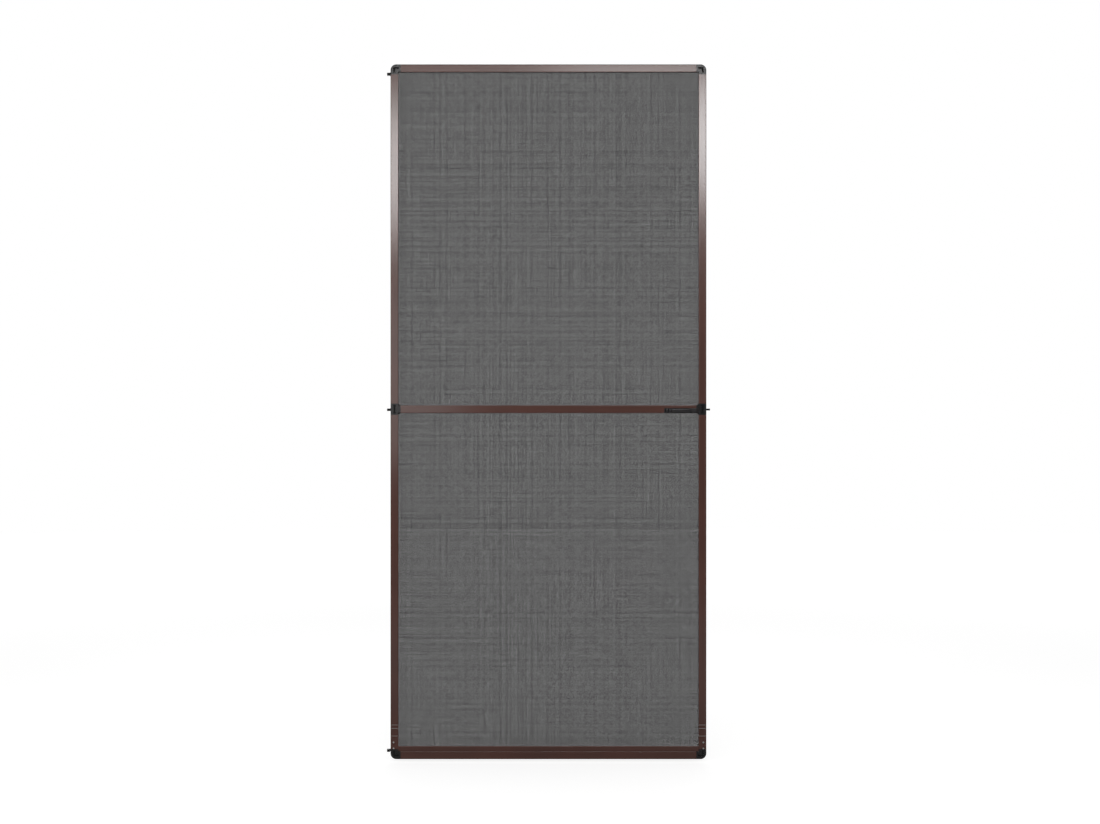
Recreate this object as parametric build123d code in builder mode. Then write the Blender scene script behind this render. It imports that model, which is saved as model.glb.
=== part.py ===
from build123d import *
import os

# Insect screen door with its hinges, seen from the side it opens to.
# Frame: +X to the right, +Y into the wall, +Z up, millimetres.
# The origin is the middle of the bottom hinge bracket's back face, which lies on the door frame.

os.makedirs("parts", exist_ok=True)

# Leaf
leaf_width = 1000.0
leaf_height = 2200.0
mid_rail_height = 1108.0  # middle of the mid rail above the leaf's bottom edge
kick_strip_height = 16.5

# Hollow section of the stiles and rails
profile_width = 25.0
profile_depth = 12.0
profile_wall = 1.1
front_round = 2.0  # long edges of the front face
groove_width = 4.5  # groove for the screen's rubber cord, open to the rear
groove_depth = 5.5
lip_step = 0.6  # how far the groove's inner lip stays below the rear face

# Moulded corners and tees
corner_radius = 18.5
corner_reach = 32.0  # from the leaf's edge to the end of each arm
tee_height = 36.0
tee_reach = 32.0
gusset_size = 5.0
gusset_depth = 9.0
spigot_length = 45.0  # part of a moulding that goes into a profile
spigot_clearance = 0.15
recess_width = 5.5
recess_depth = 2.0
corner_recess_inset = 11.5  # middle of the recess from the leaf's edge
corner_recess_leg = 15.0
tee_recess_inset = 12.5
tee_recess_height = 28.0
tee_recess_foot = 8.0

# Insect screen and its rubber cord
mesh_thickness = 0.4
mesh_clearance = 0.05
hem_depth = 4.0
screen_columns = 8  # openings of the coarse grid that stands for the weave
screen_rows = 9
screen_bar = 12.0  # width of the grid's bars
cord_clearance = 0.05

# Hinges
hinge_inset = 28.5  # outer hinges from the leaf's top and bottom
hinge_offset = 7.0  # hinge axis from the leaf's left edge
knuckle_radius = 4.5
lug_height = 4.0
lug_width = 6.0
tenon_length = 6.0
tenon_clearance = 0.1
collar_thickness = 1.2
collar_width = 8.0
collar_height = 6.4
pin_radius = 2.0
pin_clearance = 0.05
pin_rise = 0.5
hinge_end_gap = 0.3  # between the lug and the bracket's arm
bracket_arm_height = 3.4
plate_width = 24.0
plate_height = 45.0
plate_thickness = 3.0
plate_corner = 3.0  # bevelled corners
plate_to_leaf = 5.0
bracket_hole_radius = 2.1
bracket_sink_radius = 3.8
bracket_hole_spacing = 26.0

# Latch
latch_travel = 12.0
tongue_reach = 11.5  # how far the tongue stands out of the leaf
tongue_height = 6.0
tongue_thickness = 2.5
tongue_clearance = 0.3
tongue_depth = 3.2  # front of the tongue behind the leaf's front face
tongue_drop = 1.0  # middle of the tongue below the middle of the mid rail
stud_radius = 1.5
stud_inset = 60.0  # stud from the leaf's right edge
tongue_tail = 6.0  # tongue beyond the stud
track_inset = 32.5
track_length = 101.0
track_height = 15.5
track_floor = 1.2
track_lip = 1.2
track_lip_overhang = 1.0
track_wall_height = 3.4
track_middle_drop = 4.2  # middle of the track below the middle of the mid rail
end_block_length = 12.5
end_slant = 9.0
bar_gap = 3.0  # slanted gap between the bar and the end block
bar_clearance = 0.25
bar_floor_gap = 0.125
bar_foot = 1.6
bar_thickness = 4.8
bar_round = 2.4  # long front edges of the bar and the end block
grip_groove_count = 3
grip_groove_pitch = 8.6
grip_groove_width = 3.0
grip_groove_depth = 1.4

# Lower ends of the stiles
screw_heights = (34.0, 53.0)
screw_head_radius = 2.6
screw_head_height = 1.5
screw_head_chamfer = 0.8
screw_shank_radius = 1.2
screw_shank_length = 6.0
screw_clearance = 0.1
crimp_heights = (73.5, 97.5, 108.5)
crimp_width = 1.0
crimp_depth = 0.4

# Places worked out from the sizes
leaf_left = -plate_width / 2
leaf_right = leaf_left + leaf_width
leaf_bottom = -hinge_inset
leaf_top = leaf_bottom + leaf_height
rear_y = -plate_thickness - plate_to_leaf
front_y = rear_y - profile_depth
leaf_y = rear_y - profile_depth / 2
middle_z = leaf_bottom + mid_rail_height
hinge_x = leaf_left - hinge_offset
hinge_heights = {"top": leaf_top - hinge_inset, "middle": middle_z, "bottom": 0.0}

half_depth = profile_depth / 2
spigot_reach = half_depth - profile_wall - spigot_clearance
chamber_end = profile_width - profile_wall - groove_width - profile_wall
groove_floor = half_depth - groove_depth
opening_left = leaf_left + profile_width
opening_right = leaf_right - profile_width
opening_width = opening_right - opening_left
opening_middle = (leaf_left + leaf_right) / 2
upper_opening = (middle_z + profile_width / 2, leaf_top - profile_width)
lower_opening = (leaf_bottom + profile_width + kick_strip_height, middle_z - profile_width / 2)

side_mirror = Plane.YZ.offset(opening_middle)
end_mirror = Plane.XY.offset((leaf_bottom + leaf_top) / 2)


def across_stile(lower_end):
    """Plane across the left stile: x runs inwards from the leaf's edge, y to the rear from its middle."""
    return Plane((leaf_left, leaf_y, lower_end), x_dir=(1, 0, 0), z_dir=(0, 0, 1))


def across_top_rail(left_end):
    """Plane across the top rail: x runs inwards from the leaf's edge, y to the rear from its middle."""
    return Plane((left_end, leaf_y, leaf_top), x_dir=(0, 0, -1), z_dir=(1, 0, 0))


def across_rail(lower_edge, right_end):
    """Plane across a rail inside the leaf: x runs up from its lower edge, y to the rear from its middle."""
    return Plane((right_end, leaf_y, lower_edge), x_dir=(0, 0, 1), z_dir=(-1, 0, 0))


def front_plane(depth=0.0):
    """Plane parallel to the leaf, a given depth behind its front face; cuts and pads run to the front."""
    return Plane.XZ.offset(-front_y - depth)


def span(x0, x1, y0, y1, mode=Mode.ADD):
    """Rectangle between two corners."""
    with Locations(((x0 + x1) / 2, (y0 + y1) / 2)):
        Rectangle(x1 - x0, y1 - y0, mode=mode)


def block(x0, x1, y0, y1, z0, z1, mode=Mode.ADD):
    """Box between two corners."""
    with Locations(((x0 + x1) / 2, (y0 + y1) / 2, (z0 + z1) / 2)):
        Box(x1 - x0, y1 - y0, z1 - z0, mode=mode)


def rounded_outline(sketch, width):
    """Outer shape of a profile, with its front edges rounded."""
    span(0, width, -half_depth, half_depth)
    fillet(sketch.vertices().group_by(Axis.Y)[0], front_round)


def edge_profile(plane, length, width):
    """Hollow profile with one groove along its inner edge."""
    groove_start = width - profile_wall - groove_width
    with BuildSketch(plane) as section:
        rounded_outline(section, width)
        span(profile_wall, groove_start - profile_wall, profile_wall - half_depth,
             half_depth - profile_wall, Mode.SUBTRACT)
        span(profile_wall, width - profile_wall, profile_wall - half_depth,
             groove_floor - profile_wall, Mode.SUBTRACT)
        span(groove_start, width - profile_wall, groove_floor, half_depth, Mode.SUBTRACT)
        span(width - profile_wall, width, half_depth - lip_step, half_depth, Mode.SUBTRACT)
    extrude(section.sketch, amount=length)


def middle_profile(plane, length):
    """Hollow profile with a groove along both edges."""
    with BuildSketch(plane) as section:
        rounded_outline(section, profile_width)
        span(profile_width - chamber_end, chamber_end, profile_wall - half_depth,
             half_depth - profile_wall, Mode.SUBTRACT)
        span(profile_wall, profile_width - profile_wall, profile_wall - half_depth,
             groove_floor - profile_wall, Mode.SUBTRACT)
        for lip, far in ((profile_wall, 0.0), (profile_width - profile_wall, profile_width)):
            groove_far = lip + groove_width if far < lip else lip - groove_width
            span(min(lip, groove_far), max(lip, groove_far), groove_floor, half_depth, Mode.SUBTRACT)
            span(min(lip, far), max(lip, far), half_depth - lip_step, half_depth, Mode.SUBTRACT)
    extrude(section.sketch, amount=length)


def cut_groove_round(opening):
    """Groove and lowered lip round one screen opening, in the moulding that is being made."""
    middle = (opening_middle, sum(opening) / 2)
    height = opening[1] - opening[0]
    for inner, outer, depth in (
        (profile_wall, profile_wall + groove_width, groove_depth),
        (0.0, profile_wall, lip_step),
    ):
        with BuildSketch(Plane.XZ.offset(-rear_y)) as ring:
            with Locations(middle):
                Rectangle(opening_width + 2 * outer, height + 2 * outer)
                Rectangle(opening_width + 2 * inner, height + 2 * inner, mode=Mode.SUBTRACT)
        extrude(ring.sketch, amount=depth, mode=Mode.SUBTRACT)


def spigot_into_stile(z0, z1):
    """Solid tongue of a moulding inside the main chamber of the left stile."""
    block(leaf_left + profile_wall + spigot_clearance, leaf_left + chamber_end - spigot_clearance,
          leaf_y - spigot_reach, leaf_y + spigot_reach, z0, z1)


def round_front(moulding, ends):
    """Round the front edges of a moulding, but not the ends that a profile butts against."""
    front = moulding.faces().sort_by(Axis.Y)[0].edges()
    fillet([edge for edge in front if not any(abs(end(edge.center())) < 0.01 for end in ends)], front_round)


# Stiles
with BuildPart() as upper_left_stile:
    edge_profile(across_stile(middle_z + tee_height / 2),
                 upper_opening[1] + profile_width - corner_reach - middle_z - tee_height / 2, profile_width)
upper_left_stile.part.label = "upper_left_stile"
export_step(upper_left_stile.part, "parts/upper_left_stile.step")

with BuildPart() as upper_right_stile:
    mirror(upper_left_stile.part, about=side_mirror)
upper_right_stile.part.label = "upper_right_stile"
export_step(upper_right_stile.part, "parts/upper_right_stile.step")

screw_x = leaf_left + (profile_wall + chamber_end) / 2
with BuildPart() as lower_left_stile:
    edge_profile(across_stile(leaf_bottom + corner_reach),
                 mid_rail_height - tee_height / 2 - corner_reach, profile_width)
    with BuildSketch(front_plane(crimp_depth)):
        with Locations([(leaf_left + profile_width / 2, leaf_bottom + height) for height in crimp_heights]):
            Rectangle(profile_width, crimp_width)
    extrude(amount=crimp_depth, mode=Mode.SUBTRACT)
    with BuildSketch(front_plane(profile_wall)):
        with Locations([(screw_x, leaf_bottom + height) for height in screw_heights]):
            Circle(screw_shank_radius + screw_clearance)
    extrude(amount=profile_wall, mode=Mode.SUBTRACT)
lower_left_stile.part.label = "lower_left_stile"
export_step(lower_left_stile.part, "parts/lower_left_stile.step")

with BuildPart() as lower_right_stile:
    mirror(lower_left_stile.part, about=side_mirror)
lower_right_stile.part.label = "lower_right_stile"
export_step(lower_right_stile.part, "parts/lower_right_stile.step")

# Rails
with BuildPart() as top_rail:
    edge_profile(across_top_rail(leaf_left + corner_reach), leaf_width - 2 * corner_reach, profile_width)
top_rail.part.label = "top_rail"
export_step(top_rail.part, "parts/top_rail.step")

with BuildPart() as bottom_rail:
    mirror(top_rail.part, about=end_mirror)
bottom_rail.part.label = "bottom_rail"
export_step(bottom_rail.part, "parts/bottom_rail.step")

with BuildPart() as kick_strip:
    edge_profile(across_rail(leaf_bottom + profile_width, opening_right), opening_width, kick_strip_height)
kick_strip.part.label = "kick_strip"
export_step(kick_strip.part, "parts/kick_strip.step")

tongue_z = middle_z - tongue_drop
stud_x = leaf_right - stud_inset
with BuildPart() as mid_rail:
    middle_profile(across_rail(middle_z - profile_width / 2, leaf_right - tee_reach),
                   leaf_width - 2 * tee_reach)
    with BuildSketch(front_plane(profile_wall)):
        with Locations((stud_x - latch_travel / 2, tongue_z)):
            SlotCenterToCenter(latch_travel, 2 * (stud_radius + tongue_clearance))
    extrude(amount=profile_wall, mode=Mode.SUBTRACT)
mid_rail.part.label = "mid_rail"
export_step(mid_rail.part, "parts/mid_rail.step")

# Corners: one moulding, handed by mirroring
with BuildPart() as corner_blank:
    with BuildSketch(Plane.XZ.offset(-rear_y)) as outline:
        span(leaf_left, leaf_left + corner_reach, leaf_top - profile_width, leaf_top)
        span(leaf_left, leaf_left + profile_width, leaf_top - corner_reach, leaf_top)
        fillet(outline.vertices().sort_by(lambda point: point.Y - point.X)[-1], corner_radius)
    extrude(amount=profile_depth)
    round_front(corner_blank, (lambda point: point.X - leaf_left - corner_reach,
                               lambda point: point.Z - leaf_top + corner_reach))
    cut_groove_round(upper_opening)
    with BuildSketch(front_plane(recess_depth)):
        bend_x = leaf_left + corner_recess_inset
        bend_z = leaf_top - corner_recess_inset
        span(bend_x - recess_width / 2, bend_x + corner_recess_leg, bend_z - recess_width / 2,
             bend_z + recess_width / 2)
        span(bend_x - recess_width / 2, bend_x + recess_width / 2, bend_z - corner_recess_leg,
             bend_z + recess_width / 2)
    extrude(amount=recess_depth, mode=Mode.SUBTRACT)
    spigot_into_stile(leaf_top - corner_reach - spigot_length, leaf_top - corner_reach)
    block(leaf_left + corner_reach, leaf_left + corner_reach + spigot_length,
          leaf_y - spigot_reach, leaf_y + spigot_reach,
          leaf_top - chamber_end + spigot_clearance, leaf_top - profile_wall - spigot_clearance)


def lug_socket(height):
    """Socket in the left edge of a moulding for the tenon of a hinge lug."""
    block(leaf_left, leaf_left + tenon_length + tenon_clearance,
          leaf_y - lug_width / 2 - tenon_clearance, leaf_y + lug_width / 2 + tenon_clearance,
          height - lug_height / 2 - tenon_clearance, height + lug_height / 2 + tenon_clearance, Mode.SUBTRACT)


def screw_pilots():
    """Holes in the spigot under the screws at a stile's foot."""
    with BuildSketch(front_plane(screw_shank_length)) as pilots:
        with Locations([(screw_x, leaf_bottom + height) for height in screw_heights]):
            Circle(screw_shank_radius)
    extrude(pilots.sketch, amount=screw_shank_length - profile_wall, mode=Mode.SUBTRACT)


with BuildPart() as top_left_corner:
    add(corner_blank.part)
    lug_socket(hinge_heights["top"])
top_left_corner.part.label = "top_left_corner"
export_step(top_left_corner.part, "parts/top_left_corner.step")

with BuildPart() as top_right_corner:
    mirror(corner_blank.part, about=side_mirror)
top_right_corner.part.label = "top_right_corner"
export_step(top_right_corner.part, "parts/top_right_corner.step")

with BuildPart() as bottom_left_blank:
    mirror(corner_blank.part, about=end_mirror)
    screw_pilots()

with BuildPart() as bottom_left_corner:
    add(bottom_left_blank.part)
    lug_socket(hinge_heights["bottom"])
bottom_left_corner.part.label = "bottom_left_corner"
export_step(bottom_left_corner.part, "parts/bottom_left_corner.step")

with BuildPart() as bottom_right_corner:
    mirror(bottom_left_blank.part, about=side_mirror)
bottom_right_corner.part.label = "bottom_right_corner"
export_step(bottom_right_corner.part, "parts/bottom_right_corner.step")

# Tees that carry the mid rail
with BuildPart() as tee_blank:
    with BuildSketch(Plane.XZ.offset(-rear_y)):
        span(leaf_left, leaf_left + profile_width, middle_z - tee_height / 2, middle_z + tee_height / 2)
        span(leaf_left, leaf_left + tee_reach, middle_z - profile_width / 2, middle_z + profile_width / 2)
    extrude(amount=profile_depth)
    round_front(tee_blank, (lambda point: point.X - leaf_left - tee_reach,
                            lambda point: point.Z - middle_z - tee_height / 2,
                            lambda point: point.Z - middle_z + tee_height / 2))
    cut_groove_round(upper_opening)
    cut_groove_round(lower_opening)
    for side in (1, -1):
        with BuildSketch(front_plane(gusset_depth)):
            inner = (opening_left, middle_z + side * profile_width / 2)
            with BuildLine():
                Polyline(inner, (inner[0] + gusset_size, inner[1]), (inner[0], inner[1] + side * gusset_size),
                         close=True)
            make_face()
        extrude(amount=gusset_depth - front_round)
    with BuildSketch(front_plane(recess_depth)):
        slot_x = leaf_left + tee_recess_inset
        span(slot_x - recess_width / 2, slot_x + recess_width / 2, middle_z - tee_recess_height / 2,
             middle_z + tee_recess_height / 2)
        for side in (1, -1):
            with Locations((slot_x, middle_z + side * (tee_recess_height - recess_width) / 2)):
                Rectangle(tee_recess_foot, recess_width)
    extrude(amount=recess_depth, mode=Mode.SUBTRACT)
    spigot_into_stile(middle_z + tee_height / 2, middle_z + tee_height / 2 + spigot_length)
    spigot_into_stile(middle_z - tee_height / 2 - spigot_length, middle_z - tee_height / 2)
    half_height = chamber_end - profile_width / 2 - spigot_clearance
    block(leaf_left + tee_reach, leaf_left + tee_reach + spigot_length,
          leaf_y - spigot_reach, leaf_y + spigot_reach, middle_z - half_height, middle_z + half_height)

with BuildPart() as left_tee:
    add(tee_blank.part)
    lug_socket(hinge_heights["middle"])
left_tee.part.label = "left_tee"
export_step(left_tee.part, "parts/left_tee.step")

tongue_front = front_y + tongue_depth
tongue_rear = tongue_front + tongue_thickness
with BuildPart() as right_tee:
    mirror(tee_blank.part, about=side_mirror)
    spigot_end = leaf_right - tee_reach - spigot_length
    channel_reach = tongue_height / 2 + tongue_clearance
    channel_rear = tongue_rear + tongue_clearance
    block(spigot_end, leaf_right, tongue_front - tongue_clearance, channel_rear,
          tongue_z - channel_reach, tongue_z + channel_reach, Mode.SUBTRACT)
    block(spigot_end, leaf_right - tee_reach, front_y, channel_rear,
          tongue_z - channel_reach, tongue_z + channel_reach, Mode.SUBTRACT)
right_tee.part.label = "right_tee"
export_step(right_tee.part, "parts/right_tee.step")

# Insect screens: a sheet over the lips, with a hem in each groove, and the cord that holds the hem.
# A coarse grid of openings stands for the weave, whose own holes are far too many for solids.
for name, opening in (("upper", upper_opening), ("lower", lower_opening)):
    opening_height = opening[1] - opening[0]
    middle = (opening_middle, sum(opening) / 2)
    hem_inner = profile_wall + mesh_clearance
    hem_outer = hem_inner + mesh_thickness
    sheet_rear = rear_y - lip_step + mesh_clearance + mesh_thickness
    column_pitch = (opening_width - screen_bar) / screen_columns
    row_pitch = (opening_height - screen_bar) / screen_rows
    with BuildPart() as screen:
        with BuildSketch(Plane.XZ.offset(-sheet_rear)):
            with Locations(middle):
                Rectangle(opening_width + 2 * hem_outer, opening_height + 2 * hem_outer)
                with GridLocations(column_pitch, row_pitch, screen_columns, screen_rows):
                    Rectangle(column_pitch - screen_bar, row_pitch - screen_bar, mode=Mode.SUBTRACT)
        extrude(amount=mesh_thickness)
        with BuildSketch(Plane.XZ.offset(-sheet_rear)):
            with Locations(middle):
                with GridLocations(opening_width + hem_inner + hem_outer, 0, 2, 1):
                    Rectangle(mesh_thickness, opening_height)
                with GridLocations(0, opening_height + hem_inner + hem_outer, 1, 2):
                    Rectangle(opening_width, mesh_thickness)
        extrude(amount=hem_depth)
    screen.part.label = name + "_screen"
    export_step(screen.part, "parts/" + name + "_screen.step")

    cord_radius = (groove_width - mesh_clearance - mesh_thickness) / 2 - cord_clearance
    cord_inset = hem_outer + cord_clearance + cord_radius
    cord_y = rear_y - groove_depth + cord_clearance + cord_radius
    with BuildPart() as cord:
        with BuildSketch(Plane.XY.offset(opening[0])):
            with Locations((opening_middle, cord_y)):
                with GridLocations(opening_width + 2 * cord_inset, 0, 2, 1):
                    Circle(cord_radius)
        extrude(amount=opening_height)
        with BuildSketch(Plane.YZ.offset(opening_left)):
            with Locations((cord_y, middle[1])):
                with GridLocations(0, opening_height + 2 * cord_inset, 1, 2):
                    Circle(cord_radius)
        extrude(amount=opening_width)
    cord.part.label = name + "_screen_cord"
    export_step(cord.part, "parts/" + name + "_screen_cord.step")

# Hinges: the leaf's lug stands on the bracket's arm and turns on the bracket's pin
for name, height in hinge_heights.items():
    arm_top = height - lug_height / 2 - hinge_end_gap
    arm_bottom = arm_top - bracket_arm_height
    lug_top = height + lug_height / 2

    with BuildPart() as lug:
        with BuildSketch(Plane.XY.offset(height - lug_height / 2)):
            span(hinge_x, leaf_left + tenon_length, leaf_y - lug_width / 2, leaf_y + lug_width / 2)
            with Locations((hinge_x, leaf_y)):
                Circle(knuckle_radius)
                Circle(pin_radius + pin_clearance, mode=Mode.SUBTRACT)
        extrude(amount=lug_height)
        block(leaf_left - collar_thickness, leaf_left, leaf_y - collar_width / 2, leaf_y + collar_width / 2,
              height - collar_height / 2, height + collar_height / 2)
    lug.part.label = name + "_hinge_lug"
    export_step(lug.part, "parts/" + name + "_hinge_lug.step")

    with BuildPart() as bracket:
        with BuildSketch(Plane.XZ) as plate:
            with Locations((0, height)):
                Rectangle(plate_width, plate_height)
            chamfer(plate.vertices(), plate_corner)
            span(hinge_x - knuckle_radius, leaf_left + plate_corner, arm_bottom, lug_top)
        extrude(amount=plate_thickness)
        with BuildSketch(Plane.XY.offset(arm_bottom)):
            span(hinge_x - knuckle_radius, hinge_x + knuckle_radius, leaf_y, -plate_thickness)
            with Locations((hinge_x, leaf_y)):
                Circle(knuckle_radius)
                Circle(pin_radius, mode=Mode.SUBTRACT)
        extrude(amount=bracket_arm_height)
        with Locations(Plane((0, -plate_thickness, height), x_dir=(1, 0, 0), z_dir=(0, -1, 0))):
            with GridLocations(0, bracket_hole_spacing, 1, 2):
                CounterSinkHole(bracket_hole_radius, bracket_sink_radius)
    bracket.part.label = name + "_hinge_bracket"
    export_step(bracket.part, "parts/" + name + "_hinge_bracket.step")

    with BuildPart() as pin:
        with BuildSketch(Plane.XY.offset(arm_bottom)):
            with Locations((hinge_x, leaf_y)):
                Circle(pin_radius)
        extrude(amount=lug_top + pin_rise - arm_bottom)
        chamfer(pin.edges().group_by(Axis.Z)[-1], pin_rise)
    pin.part.label = name + "_hinge_pin"
    export_step(pin.part, "parts/" + name + "_hinge_pin.step")

# Latch: a bar with a grooved grip slides in a track on the mid rail and draws the tongue in
track_left = leaf_right - track_inset - track_length
track_right = leaf_right - track_inset
track_z = middle_z - track_middle_drop
track_half = track_height / 2
channel_half = track_half - track_lip
block_left = track_right - end_block_length
slant_middle = block_left - end_slant / 2  # middle of the end block's slanted side
slant_slope = end_slant / track_height


def bar_slab(rear, thickness, half_height):
    """Slab of the latch bar, whose right end is parallel to the end block's slanted side."""
    lower_right = slant_middle - bar_gap + slant_slope * half_height
    upper_right = slant_middle - bar_gap - slant_slope * half_height
    with BuildSketch(Plane.XZ.offset(-rear)) as slab:
        with BuildLine():
            Polyline((track_left, track_z - half_height), (lower_right, track_z - half_height),
                     (upper_right, track_z + half_height), (track_left, track_z + half_height), close=True)
        make_face()
    extrude(slab.sketch, amount=thickness)


with BuildPart() as latch_track:
    with BuildSketch(front_plane()):
        span(track_left, track_right, track_z - track_half, track_z + track_half)
    extrude(amount=track_floor)
    with BuildSketch(front_plane(-track_floor)):
        for side in (1, -1):
            with Locations(((track_left + block_left) / 2, track_z + side * (channel_half + track_lip / 2))):
                Rectangle(block_left - track_left, track_lip)
    extrude(amount=track_wall_height)
    with BuildSketch(front_plane(-track_floor - track_wall_height + track_lip)):
        for side in (1, -1):
            with Locations(((track_left + block_left) / 2,
                            track_z + side * (track_half - (track_lip + track_lip_overhang) / 2))):
                Rectangle(block_left - track_left, track_lip + track_lip_overhang)
    extrude(amount=track_lip)
    with BuildSketch(front_plane(-track_floor)):
        with BuildLine():
            Polyline((block_left, track_z - track_half), (track_right, track_z - track_half),
                     (track_right, track_z + track_half), (block_left - end_slant, track_z + track_half),
                     close=True)
        make_face()
    extrude(amount=bar_thickness)
    fillet(latch_track.faces().sort_by(Axis.Y)[0].edges().filter_by(Axis.X), bar_round)
    with BuildSketch(front_plane()):
        with Locations((stud_x - latch_travel / 2, tongue_z)):
            SlotCenterToCenter(latch_travel, 2 * (stud_radius + tongue_clearance))
    extrude(amount=track_floor, mode=Mode.SUBTRACT)
latch_track.part.label = "latch_track"
export_step(latch_track.part, "parts/latch_track.step")

bar_half = channel_half - bar_clearance
neck_half = bar_half - track_lip_overhang
bar_rear = front_y - track_floor - bar_floor_gap
with BuildPart() as latch_bar:
    bar_slab(bar_rear, bar_foot, bar_half)
    bar_slab(bar_rear - bar_foot, bar_thickness - bar_foot, neck_half)
    fillet(latch_bar.faces().sort_by(Axis.Y)[0].edges().filter_by(Axis.X), bar_round)
    with BuildSketch(Plane.XZ.offset(-bar_rear + bar_thickness - grip_groove_depth)):
        with Locations((track_left + grip_groove_pitch * grip_groove_count / 2, track_z)):
            with GridLocations(grip_groove_pitch, 0, grip_groove_count, 1):
                Rectangle(grip_groove_width, 2 * neck_half)
    extrude(amount=grip_groove_depth, mode=Mode.SUBTRACT)
    with BuildSketch(Plane.XZ.offset(-tongue_rear)):
        with Locations((stud_x, tongue_z)):
            Circle(stud_radius)
    extrude(amount=tongue_rear - bar_rear)
latch_bar.part.label = "latch_bar"
export_step(latch_bar.part, "parts/latch_bar.step")

with BuildPart() as latch_tongue:
    block(stud_x - stud_radius - tongue_tail, leaf_right + tongue_reach, tongue_front, tongue_rear,
          tongue_z - tongue_height / 2, tongue_z + tongue_height / 2)
    with BuildSketch(Plane.XZ.offset(-tongue_rear)):
        with Locations((stud_x, tongue_z)):
            Circle(stud_radius)
    extrude(amount=tongue_thickness, mode=Mode.SUBTRACT)
latch_tongue.part.label = "latch_tongue"
export_step(latch_tongue.part, "parts/latch_tongue.step")

# Screws that hold each lower stile on the spigot of its corner
with BuildPart() as left_foot_screws:
    with BuildSketch(front_plane()):
        with Locations([(screw_x, leaf_bottom + height) for height in screw_heights]):
            Circle(screw_head_radius)
    extrude(amount=screw_head_height)
    chamfer(left_foot_screws.edges().group_by(Axis.Y)[0], screw_head_chamfer)
    with BuildSketch(front_plane(screw_shank_length)):
        with Locations([(screw_x, leaf_bottom + height) for height in screw_heights]):
            Circle(screw_shank_radius)
    extrude(amount=screw_shank_length)
left_foot_screws.part.label = "left_foot_screws"
export_step(left_foot_screws.part, "parts/left_foot_screws.step")

with BuildPart() as right_foot_screws:
    mirror(left_foot_screws.part, about=side_mirror)
right_foot_screws.part.label = "right_foot_screws"
export_step(right_foot_screws.part, "parts/right_foot_screws.step")
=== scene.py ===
# %% [markdown]
# # An insect screen door, dressed for its picture
# The door is a slim leaf of brown aluminium profiles with black moulded corners, grey woven mesh in two fields
# and a small sliding latch. The construction comes packed as a frame of solid pieces. This lesson gives each of
# them its finish, weaves the mesh from real crossing yarns, sets the screws, and lights the whole softly.

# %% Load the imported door
import math
import bpy
import bmesh
from mathutils import Matrix, Vector


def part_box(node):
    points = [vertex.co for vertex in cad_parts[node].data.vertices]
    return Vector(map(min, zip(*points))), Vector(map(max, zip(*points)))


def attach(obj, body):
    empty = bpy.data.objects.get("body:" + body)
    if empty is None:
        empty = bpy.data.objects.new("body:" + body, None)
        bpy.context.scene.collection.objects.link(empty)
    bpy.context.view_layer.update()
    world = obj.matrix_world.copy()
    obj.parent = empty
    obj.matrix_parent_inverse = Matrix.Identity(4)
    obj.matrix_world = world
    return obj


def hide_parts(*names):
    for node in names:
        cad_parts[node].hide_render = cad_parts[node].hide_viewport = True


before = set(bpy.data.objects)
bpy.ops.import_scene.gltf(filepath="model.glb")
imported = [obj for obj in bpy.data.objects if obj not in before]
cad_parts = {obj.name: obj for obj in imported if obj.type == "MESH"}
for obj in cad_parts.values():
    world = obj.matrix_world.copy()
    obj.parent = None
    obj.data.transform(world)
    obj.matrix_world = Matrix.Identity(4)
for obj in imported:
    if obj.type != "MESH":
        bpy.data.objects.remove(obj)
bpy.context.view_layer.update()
print("pieces in the frame:", len(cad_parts))

# %% [markdown]
# ## Where things are
# Everything below is placed from the frame, so the script first reads the few planes that matter: the four edges
# of the leaf, its front and its rear. Reading them keeps the lesson right if the door is made in another size.

# %% Read the leaf's edges
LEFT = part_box("upper_left_stile")[0].x
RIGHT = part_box("upper_right_stile")[1].x
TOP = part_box("top_rail")[1].z
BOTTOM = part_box("bottom_rail")[0].z
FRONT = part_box("top_rail")[0].y
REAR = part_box("top_rail")[1].y
MIDDLE = Vector(((LEFT + RIGHT) / 2, FRONT, (TOP + BOTTOM) / 2))
print(f"leaf {RIGHT - LEFT:.3f} by {TOP - BOTTOM:.3f} m, {REAR - FRONT:.3f} m deep")

# %% [markdown]
# ## Camera
# The picture is taken squarely from the front with a long lens, as shop pictures of doors are: the leaf's sides
# stay parallel and hardly any of its inner faces shows. The lens follows from the distance and from how many
# pixels of the picture the leaf takes up.

# %% Place the camera
PICTURE_WIDTH, PICTURE_HEIGHT = 1100, 824
LEAF_LEFT_PX, LEAF_RIGHT_PX = 390.5, 706.4
LEAF_TOP_PX, LEAF_BOTTOM_PX = 63.8, 759.7
CAMERA_DISTANCE = 7.0
SENSOR_WIDTH = 36.0

metres_per_px = (RIGHT - LEFT) / (LEAF_RIGHT_PX - LEAF_LEFT_PX)
camera_data = bpy.data.cameras.new("front_camera")
camera_data.sensor_width = SENSOR_WIDTH
camera_data.sensor_fit = "HORIZONTAL"
camera_data.lens = SENSOR_WIDTH * CAMERA_DISTANCE / (PICTURE_WIDTH * metres_per_px)
camera = bpy.data.objects.new("front_camera", camera_data)
camera.location = (
    MIDDLE.x - ((LEAF_LEFT_PX + LEAF_RIGHT_PX) / 2 - PICTURE_WIDTH / 2) * metres_per_px,
    FRONT - CAMERA_DISTANCE,
    MIDDLE.z + ((LEAF_TOP_PX + LEAF_BOTTOM_PX) / 2 - PICTURE_HEIGHT / 2) * metres_per_px,
)
camera.rotation_euler = (math.radians(90), 0, 0)
bpy.context.scene.collection.objects.link(camera)
bpy.context.scene.camera = camera
print(f"lens {camera_data.lens:.1f} mm at {CAMERA_DISTANCE} m")

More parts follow.
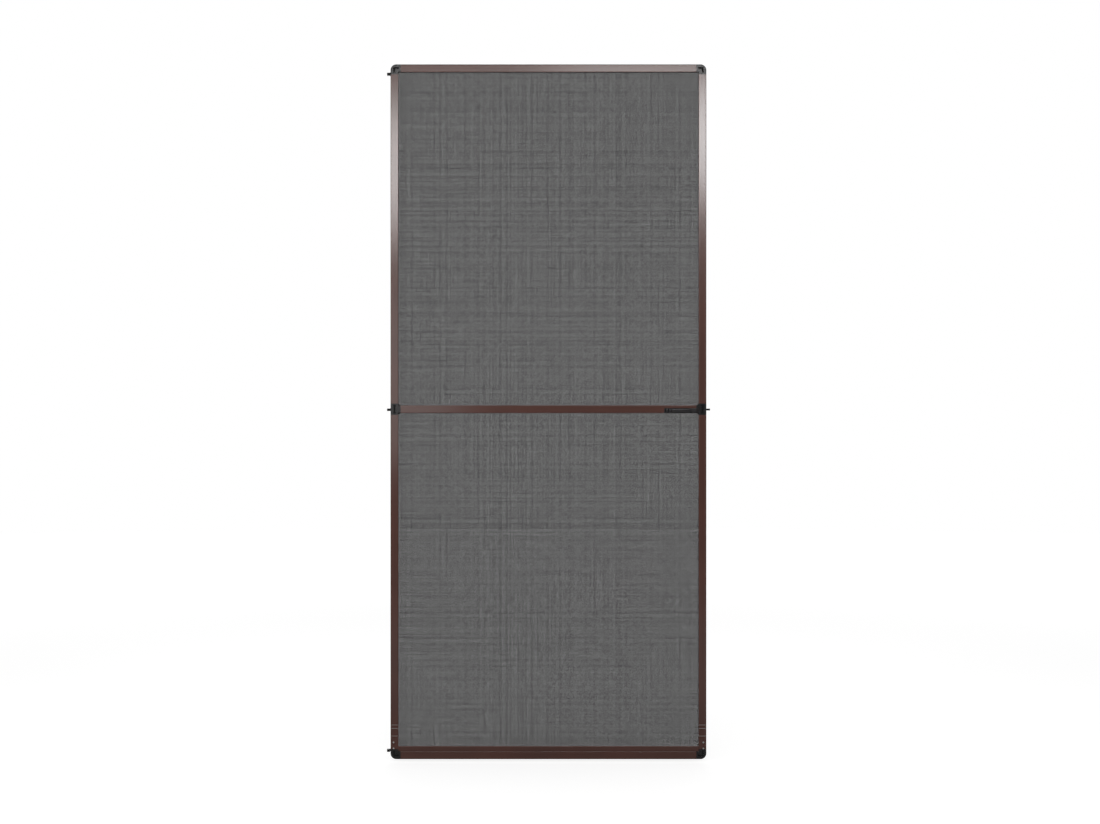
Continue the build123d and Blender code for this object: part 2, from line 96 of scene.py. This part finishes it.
# %% [markdown]
# ## Stage
# The door stands before pure white. The world shows white to the camera, and also to glossy rays that leave
# towards the backdrop behind the door. The side behind the camera stays a soft grey, as a studio's is, so the
# dark finishes keep their depth, and a paler ceiling draws a thin line of light on every rounded upper edge. The
# ceiling is given by how steeply a ray rises: it starts at the first of two heights of the ray's direction and is
# at full level from the second.

# %% Build the white world
STUDIO_LEVEL = 0.42
REFLECTED_LEVEL = 0.07
CEILING_LEVEL = 0.7
CEILING_FROM, CEILING_TO = 0.45, 0.75


def link(tree, source, target):
    """Join an output socket to an input socket."""
    tree.links.new(source, target)


def math_node(tree, operation, first, second=None):
    """A Math node on two values or sockets, and its output."""
    node = tree.nodes.new("ShaderNodeMath")
    node.operation = operation
    for socket, value in zip(node.inputs, (first, second)):
        if isinstance(value, (int, float)):
            socket.default_value = value
        elif value is not None:
            link(tree, value, socket)
    return node.outputs[0]


def smooth_ramp(tree, value, source, target):
    """Carry a value from one range to another with soft ends."""
    node = tree.nodes.new("ShaderNodeMapRange")
    node.interpolation_type = "SMOOTHSTEP"
    for socket, number in zip(("From Min", "From Max", "To Min", "To Max"), (*source, *target)):
        node.inputs[socket].default_value = number
    link(tree, value, node.inputs["Value"])
    return node.outputs[0]


world = bpy.data.worlds.new("studio")
bpy.context.scene.world = world
world.use_nodes = True
tree = world.node_tree
tree.nodes.clear()
rays = tree.nodes.new("ShaderNodeLightPath")
direction = tree.nodes.new("ShaderNodeTexCoord")
split = tree.nodes.new("ShaderNodeSeparateXYZ")
link(tree, direction.outputs["Generated"], split.inputs[0])
towards_backdrop = math_node(tree, "GREATER_THAN", split.outputs["Y"], 0.0)
mirrored = math_node(tree, "MULTIPLY", rays.outputs["Is Glossy Ray"], towards_backdrop)
white = math_node(tree, "MAXIMUM", rays.outputs["Is Camera Ray"], rays.outputs["Is Transmission Ray"])
white = math_node(tree, "MAXIMUM", white, mirrored)
ceiling = smooth_ramp(tree, split.outputs["Z"], (CEILING_FROM, CEILING_TO),
                      (REFLECTED_LEVEL - STUDIO_LEVEL, CEILING_LEVEL - STUDIO_LEVEL))
grey = math_node(tree, "MULTIPLY", rays.outputs["Is Glossy Ray"], ceiling)
grey = math_node(tree, "ADD", grey, STUDIO_LEVEL)
level = math_node(tree, "MAXIMUM", white, grey)
background = tree.nodes.new("ShaderNodeBackground")
background.inputs["Color"].default_value = (1, 1, 1, 1)
link(tree, level, background.inputs["Strength"])
world_output = tree.nodes.new("ShaderNodeOutputWorld")
link(tree, background.outputs[0], world_output.inputs["Surface"])
bpy.context.scene.view_settings.view_transform = "Standard"
print("world: white to the camera, level", STUDIO_LEVEL, "as light")

# %% [markdown]
# The floor is a pale sheet that is part glow and part matt paint: the glow makes it run into the backdrop, and the
# paint keeps the door's shadow. The glow grows with the distance from the door, where less lamp light arrives. It
# shows only to the camera and to reflections, so it never lights the door from below.

# %% Lay the floor
FLOOR_GAP = 0.012
FLOOR_RADIUS = 14.0
FLOOR_EDGES = 96
FLOOR_PAINT = 0.48
GLOW_NEAR, GLOW_FAR = 0.69, 0.81
FADE_FROM, FADE_TO = 3.0, 7.0


def new_object(name, mesh):
    """An object at the origin for a finished mesh."""
    obj = bpy.data.objects.new(name, mesh)
    bpy.context.scene.collection.objects.link(obj)
    return obj


def mesh_from(bm, name, smooth=False):
    """Turn a bmesh into a mesh, with its faces smooth or flat."""
    for face in bm.faces:
        face.smooth = smooth
    mesh = bpy.data.meshes.new(name)
    bm.to_mesh(mesh)
    bm.free()
    return mesh


bm = bmesh.new()
floor_middle = Vector((MIDDLE.x, 0, BOTTOM - FLOOR_GAP))
bmesh.ops.create_circle(bm, cap_ends=True, segments=FLOOR_EDGES, radius=FLOOR_RADIUS,
                        matrix=Matrix.Translation(floor_middle))
floor = new_object("floor", mesh_from(bm, "floor"))
paper = bpy.data.materials.new("floor_paper")
paper.use_nodes = True
tree = paper.node_tree
tree.nodes.clear()
matt = tree.nodes.new("ShaderNodeBsdfDiffuse")
matt.inputs["Color"].default_value = (FLOOR_PAINT, FLOOR_PAINT, FLOOR_PAINT, 1)
glow = tree.nodes.new("ShaderNodeEmission")
glow.inputs["Color"].default_value = (1, 1, 1, 1)
place = tree.nodes.new("ShaderNodeTexCoord").outputs["Object"]
away = tree.nodes.new("ShaderNodeVectorMath")
away.operation = "DISTANCE"
link(tree, place, away.inputs[0])
away.inputs[1].default_value = floor_middle
fade = smooth_ramp(tree, away.outputs["Value"], (FADE_FROM, FADE_TO), (GLOW_NEAR, GLOW_FAR))
spot = tree.nodes.new("ShaderNodeSeparateXYZ")
link(tree, place, spot.inputs[0])
behind_door = math_node(tree, "GREATER_THAN", spot.outputs["Y"], 0.0)
rays = tree.nodes.new("ShaderNodeLightPath")
mirrored = math_node(tree, "MULTIPLY", rays.outputs["Is Glossy Ray"], behind_door)
seen = math_node(tree, "MAXIMUM", rays.outputs["Is Camera Ray"], mirrored)
seen = math_node(tree, "MAXIMUM", seen, rays.outputs["Is Transmission Ray"])
link(tree, math_node(tree, "MULTIPLY", seen, fade), glow.inputs["Strength"])
both = tree.nodes.new("ShaderNodeAddShader")
link(tree, matt.outputs[0], both.inputs[0])
link(tree, glow.outputs[0], both.inputs[1])
paper_output = tree.nodes.new("ShaderNodeOutputMaterial")
link(tree, both.outputs[0], paper_output.inputs["Surface"])
floor.data.materials.append(paper)
print("floor at", round(floor_middle.z, 4))

# %% [markdown]
# ## Lights
# Two large soft boxes stand left and right in front of the door and light it evenly. Two long boxes hang side by
# side above the camera, where the flat front faces of the upper stiles mirror them: they make the broad pale band
# that tells the eye the coating is satin. Their place comes from the mirror rule, so that the band lies at the
# chosen height. They hang far from the door, because there they add hardly any light to the mesh. A dim card on
# the left gives the middle of the left stile its faint second glow.

# %% Set the soft boxes
BAND_DISTANCE = 5.6
CARD_DISTANCE = 3.0
# place, size in metres and power in watts
SOFT_BOXES = {
    "left_box": ((MIDDLE.x - 3.0, FRONT - 4.2, 1.9), (2.4, 2.4), 80),
    "right_box": ((MIDDLE.x + 3.4, FRONT - 4.0, 1.9), (2.4, 2.4), 56),
    "back_box": ((MIDDLE.x, 3.5, 3.4), (3.0, 1.6), 45),
}
# x and z of the point that mirrors it, distance from the door, size and power
MIRRORED_BOXES = {
    "left_band": (MIDDLE.x - 0.33, BOTTOM + 1.874, BAND_DISTANCE, (1.45, 0.70), 39),
    "right_band": (MIDDLE.x + 0.40, BOTTOM + 1.972, BAND_DISTANCE, (1.35, 0.61), 43),
    "left_card": (LEFT + 0.012, BOTTOM + 1.20, CARD_DISTANCE, (0.55, 0.75), 2.2),
}


def soft_box(name, place, aim, size, power):
    """A rectangular area light at a place, turned to a point and hidden from the camera."""
    data = bpy.data.lights.new(name, "AREA")
    data.shape = "RECTANGLE"
    data.size, data.size_y = size
    data.energy = power
    lamp = bpy.data.objects.new(name, data)
    lamp.location = place
    lamp.rotation_euler = (Vector(aim) - Vector(place)).to_track_quat("-Z", "Y").to_euler()
    lamp.visible_camera = False
    bpy.context.scene.collection.objects.link(lamp)
    return lamp


def mirrored_box(name, x, z, distance, size, power):
    """A soft box where the camera sees it mirrored at a point of the leaf's front."""
    reach = distance / CAMERA_DISTANCE
    place = (x + (x - camera.location.x) * reach, FRONT - distance, z + (z - camera.location.z) * reach)
    print(f"{name} at", [round(value, 2) for value in place])
    return soft_box(name, place, (x, FRONT, z), size, power)


for name, (place, size, power) in SOFT_BOXES.items():
    soft_box(name, place, MIDDLE, size, power)
for name, settings in MIRRORED_BOXES.items():
    mirrored_box(name, *settings)
print("soft boxes:", len(SOFT_BOXES) + len(MIRRORED_BOXES))

# %% [markdown]
# ## Finishes
# No real surface is one flat colour. The powder coat on the profiles has a fine orange-peel skin, drifts a little
# in tone along each length and is slightly duller in places. The mouldings have the dull spark-eroded grain of
# nylon parts. Each finish below is built from noise on Object coordinates, which are metres here, so a scale of
# 1000 gives features about a millimetre wide. First come the small steps that the finishes share.

# %% Steps that the finishes share
USUAL_NOISE = (0.3, 0.7)
FACING_FRONT = -0.9
FAR_BEHIND, FAR_ABOVE = 1.0, 10.0


def new_finish(name):
    """A material with a Principled shader, and the nodes that its patterns start from."""
    material = bpy.data.materials.new(name)
    material.use_nodes = True
    tree = material.node_tree
    tree.nodes.clear()
    shader = tree.nodes.new("ShaderNodeBsdfPrincipled")
    output = tree.nodes.new("ShaderNodeOutputMaterial")
    link(tree, shader.outputs[0], output.inputs["Surface"])
    place = tree.nodes.new("ShaderNodeTexCoord").outputs["Object"]
    return material, tree, shader, place


def stretched(tree, place, scale):
    """Coordinates scaled by a different amount along each axis."""
    mapping = tree.nodes.new("ShaderNodeMapping")
    mapping.inputs["Scale"].default_value = scale
    link(tree, place, mapping.inputs["Vector"])
    return mapping.outputs[0]


def noise(tree, place, scale, detail=2.0):
    """A Noise texture's value, mostly within USUAL_NOISE."""
    node = tree.nodes.new("ShaderNodeTexNoise")
    node.inputs["Scale"].default_value = scale
    node.inputs["Detail"].default_value = detail
    link(tree, place, node.inputs["Vector"])
    return node.outputs["Fac"]


def spread(tree, value, low, high, usual=USUAL_NOISE):
    """Take the usual range of noise to a range of our own."""
    node = tree.nodes.new("ShaderNodeMapRange")
    for socket, number in zip(("From Min", "From Max", "To Min", "To Max"), (*usual, low, high)):
        node.inputs[socket].default_value = number
    link(tree, value, node.inputs["Value"])
    return node.outputs[0]


def blended(tree, factor, first, second):
    """A colour between two by a factor; each is a plain colour or another pattern's output."""
    node = tree.nodes.new("ShaderNodeMix")
    node.data_type = "RGBA"
    link(tree, factor, node.inputs["Factor"])
    for socket, colour in ((node.inputs["A"], first), (node.inputs["B"], second)):
        if isinstance(colour, tuple):
            socket.default_value = (*colour, 1)
        else:
            link(tree, colour, socket)
    return node.outputs["Result"]


def bump(tree, shader, height, strength, distance):
    """Fine relief from a height value."""
    node = tree.nodes.new("ShaderNodeBump")
    node.inputs["Strength"].default_value = strength
    node.inputs["Distance"].default_value = distance
    link(tree, height, node.inputs["Height"])
    link(tree, node.outputs[0], shader.inputs["Normal"])


def facing_floors(tree, place, nearest, deepest=FAR_BEHIND, highest=FAR_ABOVE):
    """1 on faces towards the front between two depths behind the leaf's front and below a height, else 0."""
    split = tree.nodes.new("ShaderNodeSeparateXYZ")
    link(tree, place, split.inputs[0])
    facing = tree.nodes.new("ShaderNodeSeparateXYZ")
    link(tree, tree.nodes.new("ShaderNodeTexCoord").outputs["Normal"], facing.inputs[0])
    mask = math_node(tree, "GREATER_THAN", split.outputs["Y"], FRONT + nearest)
    for value, limit in ((split.outputs["Y"], FRONT + deepest), (split.outputs["Z"], highest),
                         (facing.outputs["Y"], FACING_FRONT)):
        mask = math_node(tree, "MULTIPLY", mask, math_node(tree, "LESS_THAN", value, limit))
    return mask


print("shared steps: stretched, noise, spread, blended, bump, facing_floors")

# %% [markdown]
# Three kinds of finish are built from them. The powder coat keeps faint lines along each profile from the drawing
# die, and it is worn pale on the floors of the crimps pressed into the lower stiles. Moulded plastic is rougher on
# the floors of its recesses, where the mould can't be polished, and is painted near black there as painted shade.
# Bare metal only mottles a little.

# %% Three kinds of finish
COAT_DARK, COAT_LIGHT = (0.043, 0.0145, 0.0095), (0.067, 0.0225, 0.0155)
COAT_WORN = (0.26, 0.24, 0.23)
CRIMP_FROM, CRIMP_TO = 0.0002, 0.0005
DRIFT_SCALE, DRIFT_SHARE = 5.0, 0.6
DRAWN_ACROSS, DRAWN_ALONG, DRAWN_SHARE = 420.0, 2.0, 0.4
DULLING_SCALE, DULLING = 45.0, (0.40, 0.50)
PEEL_SCALE, PEEL_DEPTH = 900.0, 0.00004
RECESS_FROM = 0.0012
# painted shade: the near-black colour of recess and groove floors
RECESS_SHADE_COLOUR = (0.001, 0.001, 0.001)
RECESS_ROUGH = 0.6
BLEND_SCALE = 60.0
GLOSS_SCALE, GLOSS_LOW, GLOSS_HIGH = 300.0, 0.82, 1.18
GRAIN_SCALE, GRAIN_DEPTH = 2600.0, 0.00003


def powder_coat(name, along):
    """Brown satin powder coat on a drawn profile; along is the axis that the profile runs in."""
    material, tree, shader, place = new_finish(name)
    lines = [DRAWN_ACROSS] * 3
    lines[along] = DRAWN_ALONG
    drift = noise(tree, place, DRIFT_SCALE)
    drawn = noise(tree, stretched(tree, place, lines), 1.0, 3.0)
    tone = math_node(tree, "ADD", math_node(tree, "MULTIPLY", drift, DRIFT_SHARE),
                     math_node(tree, "MULTIPLY", drawn, DRAWN_SHARE))
    colour = blended(tree, spread(tree, tone, 0.0, 1.0), COAT_DARK, COAT_LIGHT)
    crimps = facing_floors(tree, place, CRIMP_FROM, CRIMP_TO)
    link(tree, blended(tree, crimps, colour, COAT_WORN), shader.inputs["Base Color"])
    link(tree, spread(tree, noise(tree, place, DULLING_SCALE), *DULLING), shader.inputs["Roughness"])
    shader.inputs["Metallic"].default_value = 0.3
    shader.inputs["Specular IOR Level"].default_value = 0.15
    shader.inputs["Coat Weight"].default_value = 1.0
    shader.inputs["Coat Roughness"].default_value = 0.15
    bump(tree, shader, noise(tree, place, PEEL_SCALE, 3.0), 0.25, PEEL_DEPTH)
    return material


def moulded(name, dark, light, roughness, specular=0.32, coat=0.0, floor_rough=RECESS_ROUGH,
            floors_at=(RECESS_FROM,)):
    """Dark moulded plastic with a fine eroded grain and painted shade on its floors; floors_at goes to
    facing_floors.
    """
    material, tree, shader, place = new_finish(name)
    colour = blended(tree, spread(tree, noise(tree, place, BLEND_SCALE), 0.0, 1.0), dark, light)
    floors = facing_floors(tree, place, *floors_at)
    # painted shade: front-facing floors behind the front take a near-black colour
    link(tree, blended(tree, floors, colour, RECESS_SHADE_COLOUR), shader.inputs["Base Color"])
    rough = spread(tree, noise(tree, place, GLOSS_SCALE), roughness * GLOSS_LOW, roughness * GLOSS_HIGH)
    if floor_rough:
        rough = math_node(tree, "ADD", rough, math_node(tree, "MULTIPLY", floors, floor_rough))
    link(tree, rough, shader.inputs["Roughness"])
    shader.inputs["Specular IOR Level"].default_value = specular
    shader.inputs["Coat Weight"].default_value = coat
    shader.inputs["Coat Roughness"].default_value = 0.1
    bump(tree, shader, noise(tree, place, GRAIN_SCALE, 2.0), 0.35, GRAIN_DEPTH)
    return material


def bare_metal(name, colour, roughness):
    """Zinc or steel with a faint mottle."""
    material, tree, shader, place = new_finish(name)
    dull = tuple(channel * 0.8 for channel in colour)
    link(tree, blended(tree, spread(tree, noise(tree, place, 240.0), 0.0, 1.0), dull, colour),
         shader.inputs["Base Color"])
    shader.inputs["Metallic"].default_value = 1.0
    link(tree, spread(tree, noise(tree, place, 700.0), roughness * 0.8, roughness * 1.25),
         shader.inputs["Roughness"])
    bump(tree, shader, noise(tree, place, 1800.0), 0.1, 0.00002)
    return material


print("kinds of finish: powder_coat, moulded, bare_metal")

# %% [markdown]
# Now the finishes themselves. The mouldings at the corners are a little glossier than the small parts. The latch
# stands proud of the leaf, so its grooves, painted near black as painted shade, are told by their depth behind the
# bar's own face. Of its track only the part below the bar's middle is painted dark: a painted shadow that draws
# the dark line under the bar.

# %% Mix the finishes
ALONG_X, ALONG_Z = 0, 2
GROOVE_FROM = 0.0008
SLIDER_DARK, SLIDER_LIGHT = (0.016, 0.0146, 0.0152), (0.023, 0.0212, 0.022)

bar_low, bar_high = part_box("latch_bar")
groove_from = bar_low.y - FRONT + GROOVE_FROM
bar_middle = (bar_low.z + bar_high.z) / 2
coat_upright = powder_coat("brown_coat_upright", ALONG_Z)
coat_level = powder_coat("brown_coat_level", ALONG_X)
black_nylon = moulded("black_nylon", (0.005, 0.0042, 0.0046), (0.010, 0.0085, 0.009), 0.27, specular=0.40)
dull_nylon = moulded("dull_nylon", (0.004, 0.0034, 0.0037), (0.008, 0.0068, 0.0072), 0.27, specular=0.26)
# painted shade: the bar's grooves, deeper than its face, take the near-black colour
bar_nylon = moulded("bar_nylon", SLIDER_DARK, SLIDER_LIGHT, 0.16, specular=0.3, coat=0.25, floor_rough=0.0,
                    floors_at=(groove_from,))
# painted shadow: the track's front faces behind the bar's face and below its middle take the near-black colour
track_nylon = moulded("track_nylon", SLIDER_DARK, SLIDER_LIGHT, 0.20, specular=0.3, coat=0.15, floor_rough=0.0,
                      floors_at=(groove_from, FAR_BEHIND, bar_middle))
black_enamel = moulded("black_enamel", (0.007, 0.007, 0.0075), (0.014, 0.013, 0.014), 0.32)
grey_rubber = moulded("grey_rubber", (0.020, 0.020, 0.020), (0.036, 0.035, 0.035), 0.78)
bright_zinc = bare_metal("bright_zinc", (0.35, 0.342, 0.338), 0.36)
print("materials:", len(bpy.data.materials))

# %% [markdown]
# ## Dress the construction
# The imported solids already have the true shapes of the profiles, mouldings, hinges and latch, so they keep them
# and only change their finish. One table says which finish goes on which piece.

# %% Give each solid its finish
FINISHES = {
    coat_upright: ["upper_left_stile", "upper_right_stile", "lower_left_stile", "lower_right_stile"],
    coat_level: ["top_rail", "mid_rail", "bottom_rail", "kick_strip"],
    black_nylon: ["top_left_corner", "top_right_corner", "bottom_left_corner", "bottom_right_corner", "left_tee"],
    dull_nylon: ["right_tee", "latch_tongue", "top_hinge_lug", "middle_hinge_lug", "bottom_hinge_lug"],
    bar_nylon: ["latch_bar"],
    track_nylon: ["latch_track"],
    black_enamel: ["top_hinge_bracket", "middle_hinge_bracket", "bottom_hinge_bracket"],
    grey_rubber: ["upper_screen_cord", "lower_screen_cord"],
    bright_zinc: ["top_hinge_pin", "middle_hinge_pin", "bottom_hinge_pin"],
}
for finish, names in FINISHES.items():
    for name in names:
        node_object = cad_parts[name]
        node_object.data.materials.clear()
        node_object.data.materials.append(finish)
print("dressed", sum(len(names) for names in FINISHES.values()), "solids")

# %% [markdown]
# ## Weave the mesh
# The mesh is a fabric of coated glass yarns. A picture of a weave on a plane would break up as soon as someone
# comes close, so each yarn here is a real closed strand with a flat, lens-like section. A woven yarn passes over
# and under its neighbours. At this size, two thousand yarns would need millions of faces to bend at each
# crossing, so the weave is laid in three levels: half of the upright yarns in front, the level yarns between, and
# the other half of the upright yarns behind. Every strand folds over the profile's lip at its ends and runs down
# into the groove, where the rubber cord holds it.

# %% One strand along a path
YARN_PITCH = 0.0012
YARN_WIDTH = 0.00087
YARN_THICKNESS = 0.00012
LEVEL_STEP = 0.00013


def section_at(path, index, width_axis):
    """The frame of a yarn's section at one point of its path: broad side, thin side and run."""
    before = (path[index] - path[index - 1]).normalized() if index > 0 else None
    after = (path[index + 1] - path[index]).normalized() if index < len(path) - 1 else None
    along = ((before or after) + (after or before)).normalized()
    mitre = 1 / along.dot(after or before)
    thin = width_axis.cross(along) * mitre * YARN_THICKNESS / 2
    return (Matrix.Translation(path[index])
            @ Matrix((width_axis * YARN_WIDTH / 2, thin, along)).transposed().to_4x4())


def strand(path, width_axis):
    """A closed strand with a flat four-sided section; width_axis is the direction of its broad side."""
    bm = bmesh.new()
    frames = [section_at(path, index, width_axis) for index in range(len(path))]
    bmesh.ops.create_circle(bm, cap_ends=True, segments=4, radius=1, matrix=frames[0])
    bm.faces.ensure_lookup_table()
    end = bm.faces[0]
    for here, there in zip(frames, frames[1:]):
        grown = bmesh.ops.extrude_face_region(bm, geom=[end])["geom"]
        verts = [item for item in grown if isinstance(item, bmesh.types.BMVert)]
        end = next(item for item in grown if isinstance(item, bmesh.types.BMFace))
        bmesh.ops.transform(bm, matrix=there @ here.inverted(), verts=verts)
    bmesh.ops.recalc_face_normals(bm, faces=bm.faces)
    return mesh_from(bm, "strand")


def row_of(mesh, count, step):
    """Copies of a mesh in a row, as one mesh, made by an Array modifier."""
    holder = new_object("row", mesh)
    array = holder.modifiers.new("row", "ARRAY")
    array.count = count
    array.use_relative_offset = False
    array.use_constant_offset = True
    array.constant_offset_displace = step
    evaluated = holder.evaluated_get(bpy.context.evaluated_depsgraph_get())
    row = bpy.data.meshes.new_from_object(evaluated)
    bpy.data.objects.remove(holder)
    return row


print("one strand has", len(strand([Vector((0, 0, 0)), Vector((0, 0, 1))], Vector((1, 0, 0))).polygons), "faces")

# %% [markdown]
# The yarns aren't all of one tone: some strands take the coating darker or lighter than others, and that gives
# such mesh its faint plaid of lines. One-dimensional noise does it, along X for the upright yarns and along Z for
# the level ones, so a tone runs the whole length of a yarn. The narrow YARN_SPREAD makes most yarns either dark or
# light, and YARN_STRIPE is about the width of a band of like yarns.

# %% The yarn's finish
YARN_DARK = (0.001, 0.001, 0.001)
YARN_LIGHT = (0.061, 0.0596, 0.061)
YARN_STRIPE = 0.010
YARN_SPREAD = (0.425, 0.575)


def yarn_finish(name, axis):
    """Dull grey coated yarn whose tone changes from yarn to yarn."""
    material, tree, shader, place = new_finish(name)
    split = tree.nodes.new("ShaderNodeSeparateXYZ")
    link(tree, place, split.inputs[0])
    texture = tree.nodes.new("ShaderNodeTexNoise")
    texture.noise_dimensions = "1D"
    texture.inputs["Scale"].default_value = 1 / YARN_STRIPE
    texture.inputs["Detail"].default_value = 2.0
    link(tree, split.outputs[axis], texture.inputs["W"])
    tone = spread(tree, texture.outputs["Fac"], 0.0, 1.0, YARN_SPREAD)
    link(tree, blended(tree, tone, YARN_DARK, YARN_LIGHT), shader.inputs["Base Color"])
    shader.inputs["Roughness"].default_value = 0.62
    shader.inputs["Specular IOR Level"].default_value = 0.35
    return material


upright_yarn = yarn_finish("upright_yarn", "X")
level_yarn = yarn_finish("level_yarn", "Z")
print("yarn finishes:", upright_yarn.name, level_yarn.name)

# %% [markdown]
# Each field takes the place of its plain solid. Both rows of upright yarns and the row of level ones are one
# strand each, repeated at the yarn pitch and centred in the field.

# %% Weave both fields
HEM_HALF = 0.0002


def weave(name, node):
    """Mesh for one field, in the place of its plain solid."""
    low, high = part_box(node)
    sheet_y = high.y - HEM_HALF
    foot_y = low.y
    z_ends = (low.z + HEM_HALF, high.z - HEM_HALF)
    x_ends = (low.x + HEM_HALF, high.x - HEM_HALF)
    across, upwards = Vector((1, 0, 0)), Vector((0, 0, 1))
    bm = bmesh.new()
    uprights = int((x_ends[1] - x_ends[0]) / YARN_PITCH)
    levels = int((z_ends[1] - z_ends[0]) / YARN_PITCH)
    first_x = (low.x + high.x - (uprights - 1) * YARN_PITCH) / 2
    first_z = (low.z + high.z - (levels - 1) * YARN_PITCH) / 2
    for start, side in ((0, -1), (1, 1)):
        x, y = first_x + start * YARN_PITCH, sheet_y + side * LEVEL_STEP
        path = [Vector((x, foot_y, z_ends[0])), Vector((x, y, z_ends[0])),
                Vector((x, y, z_ends[1])), Vector((x, foot_y, z_ends[1]))]
        count = (uprights - start + 1) // 2
        bm.from_mesh(row_of(strand(path, across), count, across * YARN_PITCH * 2))
    upright_faces = len(bm.faces)
    path = [Vector((x_ends[0], foot_y, first_z)), Vector((x_ends[0], sheet_y, first_z)),
            Vector((x_ends[1], sheet_y, first_z)), Vector((x_ends[1], foot_y, first_z))]
    bm.from_mesh(row_of(strand(path, upwards), levels, upwards * YARN_PITCH))
    bm.faces.ensure_lookup_table()
    for face in bm.faces[upright_faces:]:
        face.material_index = 1
    field = new_object(name, mesh_from(bm, name))
    field.data.materials.append(upright_yarn)
    field.data.materials.append(level_yarn)
    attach(field, "leaf")
    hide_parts(node)
    print(f"{name}: {uprights} upright and {levels} level yarns, {len(field.data.polygons)} faces")
    return field


weave("upper_mesh", "upper_screen")
weave("lower_mesh", "lower_screen")

# %% [markdown]
# ## Screws at the feet
# Two small pan-head screws lock each lower stile on its corner moulding. A head is a dome with a cross recess:
# its outline, given in shares of its radius and height, is spun round the screw's axis, and the recess is cut out
# by two crossed wedges that taper towards their bottom. The two screws of a stile stop at different angles.

# %% Spin and cut the screw heads
HEAD_PARTS = 28
HEAD_OUTLINE = ((0.0, 1.0), (0.45, 0.95), (0.78, 0.76), (0.95, 0.42), (1.0, 0.0), (0.0, 0.0))
CROSS_LENGTH, CROSS_WIDTH, CROSS_DEPTH = 0.62, 0.17, 0.6
CROSS_TAPER = (0.4, 1, 0.8)
LOWER_TURN, UPPER_TURN = 24, 61


def screw_head(radius, height):
    """A pan head with a cross recess at the origin, its axis along -Y."""
    bm = bmesh.new()
    verts = [bm.verts.new((out * radius, -up * height, 0)) for out, up in HEAD_OUTLINE]
    edges = [bm.edges.new(pair) for pair in zip(verts, verts[1:])]
    bmesh.ops.spin(bm, geom=verts + edges, cent=(0, 0, 0), axis=(0, 1, 0), angle=math.tau, steps=HEAD_PARTS,
                   use_merge=True)
    bmesh.ops.remove_doubles(bm, verts=bm.verts, dist=1e-6)
    bmesh.ops.recalc_face_normals(bm, faces=bm.faces)
    head = new_object("head", mesh_from(bm, "head"))
    for turn in (0, 90):
        cutter_mesh = bmesh.new()
        made = bmesh.ops.create_cube(cutter_mesh, size=1)
        bmesh.ops.scale(cutter_mesh, verts=made["verts"],
                        vec=(2 * CROSS_LENGTH * radius, 2 * CROSS_DEPTH * height, 2 * CROSS_WIDTH * radius))
        bottom = [vert for vert in made["verts"] if vert.co.y > 0]
        bmesh.ops.scale(cutter_mesh, verts=bottom, vec=CROSS_TAPER)
        bmesh.ops.rotate(cutter_mesh, verts=made["verts"], matrix=Matrix.Rotation(math.radians(turn), 3, "Y"))
        bmesh.ops.translate(cutter_mesh, verts=made["verts"], vec=(0, -height, 0))
        cutter = new_object("cutter", mesh_from(cutter_mesh, "cutter"))
        cut = head.modifiers.new("cut", "BOOLEAN")
        cut.operation = "DIFFERENCE"
        cut.object = cutter
        cut.solver = "EXACT"
    evaluated = head.evaluated_get(bpy.context.evaluated_depsgraph_get())
    mesh = bpy.data.meshes.new_from_object(evaluated)
    for obj in [head] + [modifier.object for modifier in head.modifiers]:
        bpy.data.objects.remove(obj)
    return mesh


def foot_screws(node):
    """Both screw heads of one stile, where the plain ones are."""
    low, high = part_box(node)
    radius = (high.x - low.x) / 2
    height = FRONT - low.y
    head = screw_head(radius, height)
    bm = bmesh.new()
    for z, turn in ((low.z + radius, LOWER_TURN), (high.z - radius, UPPER_TURN)):
        copy = head.copy()
        copy.transform(Matrix.Translation(((low.x + high.x) / 2, FRONT, z))
                       @ Matrix.Rotation(math.radians(turn), 4, "Y"))
        bm.from_mesh(copy)
    piece = new_object(node + "_heads", mesh_from(bm, node + "_heads"))
    piece.data.materials.append(bright_zinc)
    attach(piece, "leaf")
    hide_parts(node)
    print(piece.name, len(piece.data.polygons), "faces")


foot_screws("left_foot_screws")
foot_screws("right_foot_screws")
